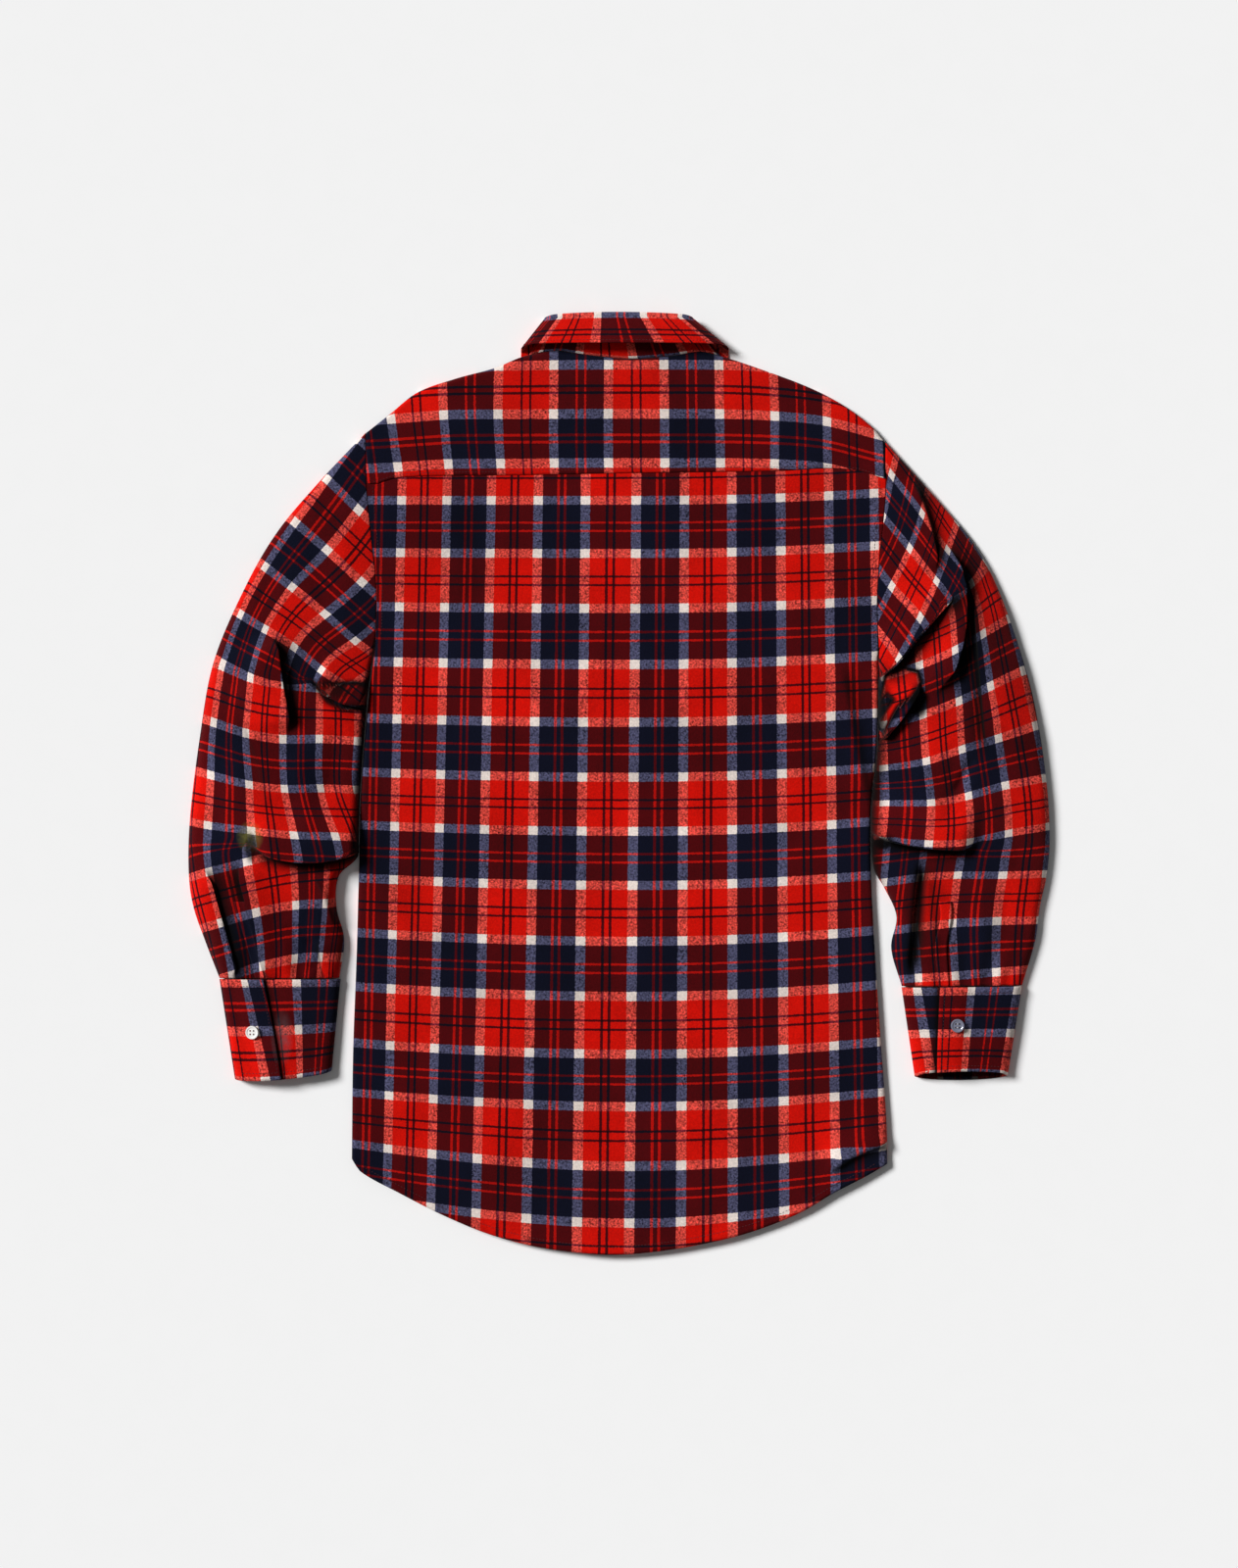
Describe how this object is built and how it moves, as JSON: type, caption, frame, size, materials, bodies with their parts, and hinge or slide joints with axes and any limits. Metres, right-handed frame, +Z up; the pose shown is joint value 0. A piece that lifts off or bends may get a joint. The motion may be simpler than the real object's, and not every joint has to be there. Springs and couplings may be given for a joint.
{
  "type": "flannel shirt laid flat",
  "caption": "Long-sleeved, button-front plaid flannel shirt with a collar, laid flat face down with its back upwards, sleeves along its sides.",
  "frame": {"origin": "middle of the outline seen from above, on the surface that the shirt lies on", "axes": "+X to the right sleeve as seen from above, +Y from the hem to the collar, +Z up from the surface, out of the shirt's back"},
  "size_m": [0.7286, 0.7958, 0.0251],
  "materials": {
    "flannel": "brushed cotton, matt, woven plaid of red, navy and off-white",
    "button": "pearly off-white, soft gloss"
  },
  "bodies": {
    "root": {"back": "flannel", "yoke": "flannel", "front_left": "flannel", "front_right": "flannel", "front_placket": "flannel", "sleeve_left": "flannel", "sleeve_right": "flannel", "sleeve_placket_left": "flannel", "sleeve_placket_right": "flannel", "cuff_left": "flannel", "cuff_right": "flannel", "collar_stand": "flannel", "collar_leaf": "flannel", "cuff_button_left": "button", "cuff_button_right": "button", "neck_button": "button", "front_button_1": "button", "front_button_2": "button", "front_button_3": "button", "front_button_4": "button", "front_button_5": "button", "front_button_6": "button"}
  },
  "joints": []
}
